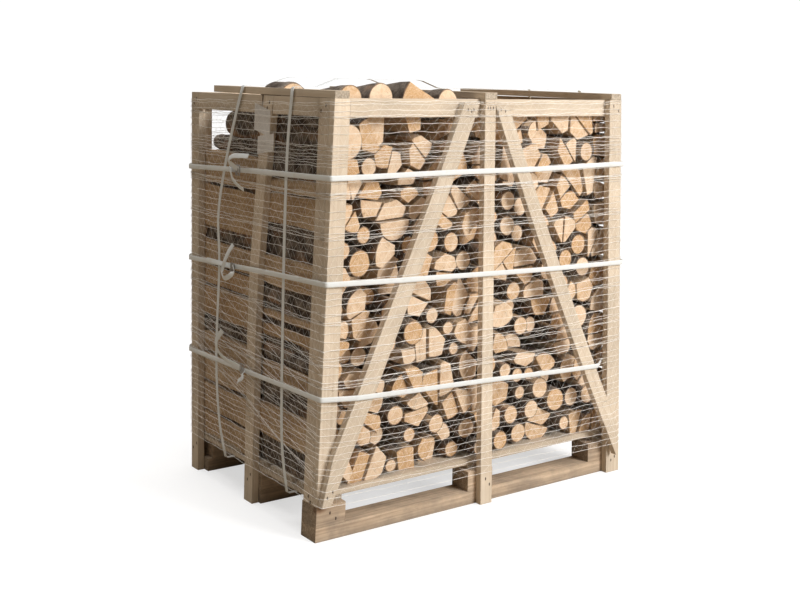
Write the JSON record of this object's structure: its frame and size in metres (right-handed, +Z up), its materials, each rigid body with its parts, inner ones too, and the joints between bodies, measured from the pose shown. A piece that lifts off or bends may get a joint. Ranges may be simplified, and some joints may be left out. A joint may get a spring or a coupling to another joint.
{
  "type": "crated birch firewood bundle",
  "caption": "Pallet crate of split birch firewood, stacked in two rows inside a slatted frame, held by straps and a net, with fork openings on all sides.",
  "frame": {"origin": "on the floor, in the middle of the whole wrapped crate seen from above", "axes": "+Z up; +X along the long front face, to the right as seen from the front; the front, with the sawn log ends, faces -Y"},
  "size_m": [1.2028, 0.869, 1.27],
  "materials": {
    "sawn_timber": "rough sawn pale softwood with grain, knots and nail marks",
    "weathered_timber": "greyed rough sawn pallet timber",
    "birch_log": "split birch: sawn tan ends with growth rings, fibrous split faces, thin grey and brown bark",
    "strap": "white woven polyester strapping with a soft sheen",
    "net": "white knitted polyethylene netting",
    "label_paper": "plain matt paper"
  },
  "bodies": {
    "root": {"belt_lower": "strap", "belt_middle": "strap", "belt_upper": "strap", "block_back_a": "weathered_timber", "block_back_b": "weathered_timber", "block_back_c": "weathered_timber", "block_front_a": "weathered_timber", "block_front_b": "weathered_timber", "block_front_c": "weathered_timber", "block_middle_a": "weathered_timber", "block_middle_b": "weathered_timber", "block_middle_c": "weathered_timber", "brace_a_back": "sawn_timber", "brace_a_front": "sawn_timber", "brace_b_back": "sawn_timber", "brace_b_front": "sawn_timber", "corner_post_back": "sawn_timber", "corner_post_front": "sawn_timber", "deck_board_1": "sawn_timber", "deck_board_2": "sawn_timber", "deck_board_3": "sawn_timber", "deck_board_4": "sawn_timber", "deck_board_5": "sawn_timber", "end_post_back": "sawn_timber", "end_post_front": "sawn_timber", "far_slat_left": "sawn_timber", "far_slat_right": "sawn_timber", "label_lower": "label_paper", "label_upper": "label_paper", "log_stack_back_left": "birch_log", "log_stack_back_right": "birch_log", "log_stack_front_left": "birch_log", "log_stack_front_right": "birch_log", "middle_post_back": "sawn_timber", "middle_post_front": "sawn_timber", "middle_slat_left": "sawn_timber", "middle_slat_right": "sawn_timber", "near_slat_left": "sawn_timber", "near_slat_right": "sawn_timber", "net_sleeve": "net", "rail_a_back": "sawn_timber", "rail_a_front": "sawn_timber", "rail_b_back": "sawn_timber", "rail_b_front": "sawn_timber", "side_rail_far_left": "sawn_timber", "side_rail_far_right": "sawn_timber", "side_rail_near_left": "sawn_timber", "side_rail_near_right": "sawn_timber", "skid_back": "weathered_timber", "skid_front": "weathered_timber", "skid_middle": "weathered_timber", "stringer_left": "sawn_timber", "stringer_middle": "sawn_timber", "stringer_right": "sawn_timber", "top_batten_left": "sawn_timber", "top_batten_middle": "sawn_timber", "top_batten_right": "sawn_timber", "upright_strap_far": "strap", "upright_strap_near": "strap"}
  },
  "joints": []
}
